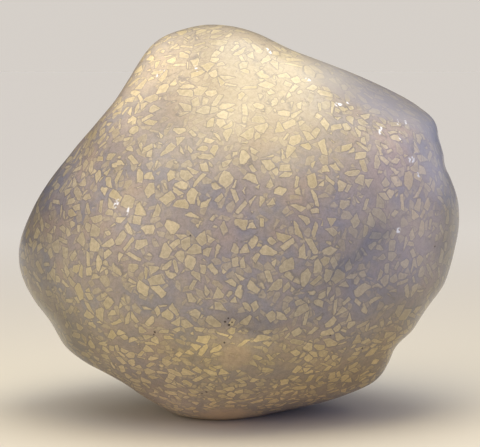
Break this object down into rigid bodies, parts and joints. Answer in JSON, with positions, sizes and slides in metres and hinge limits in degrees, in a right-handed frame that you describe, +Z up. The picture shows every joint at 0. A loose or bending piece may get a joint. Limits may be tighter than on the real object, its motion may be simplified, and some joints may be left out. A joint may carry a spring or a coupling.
{
  "type": "polished sandstone",
  "caption": "Freely shaped hand specimen of polished sandstone with pale angular chips, soft facets and a small flat to stand on.",
  "frame": {"origin": "middle of the stone's box in X and Y, on the surface that it stands on", "axes": "+Z up, +X to the right across the stone's width, -Y towards the viewer of its good side"},
  "size_m": [0.12, 0.092, 0.1059],
  "materials": {
    "sandstone": "polished mauve-beige sandstone with pale yellow angular chips"
  },
  "bodies": {
    "root": {"stone": "sandstone"}
  },
  "joints": []
}
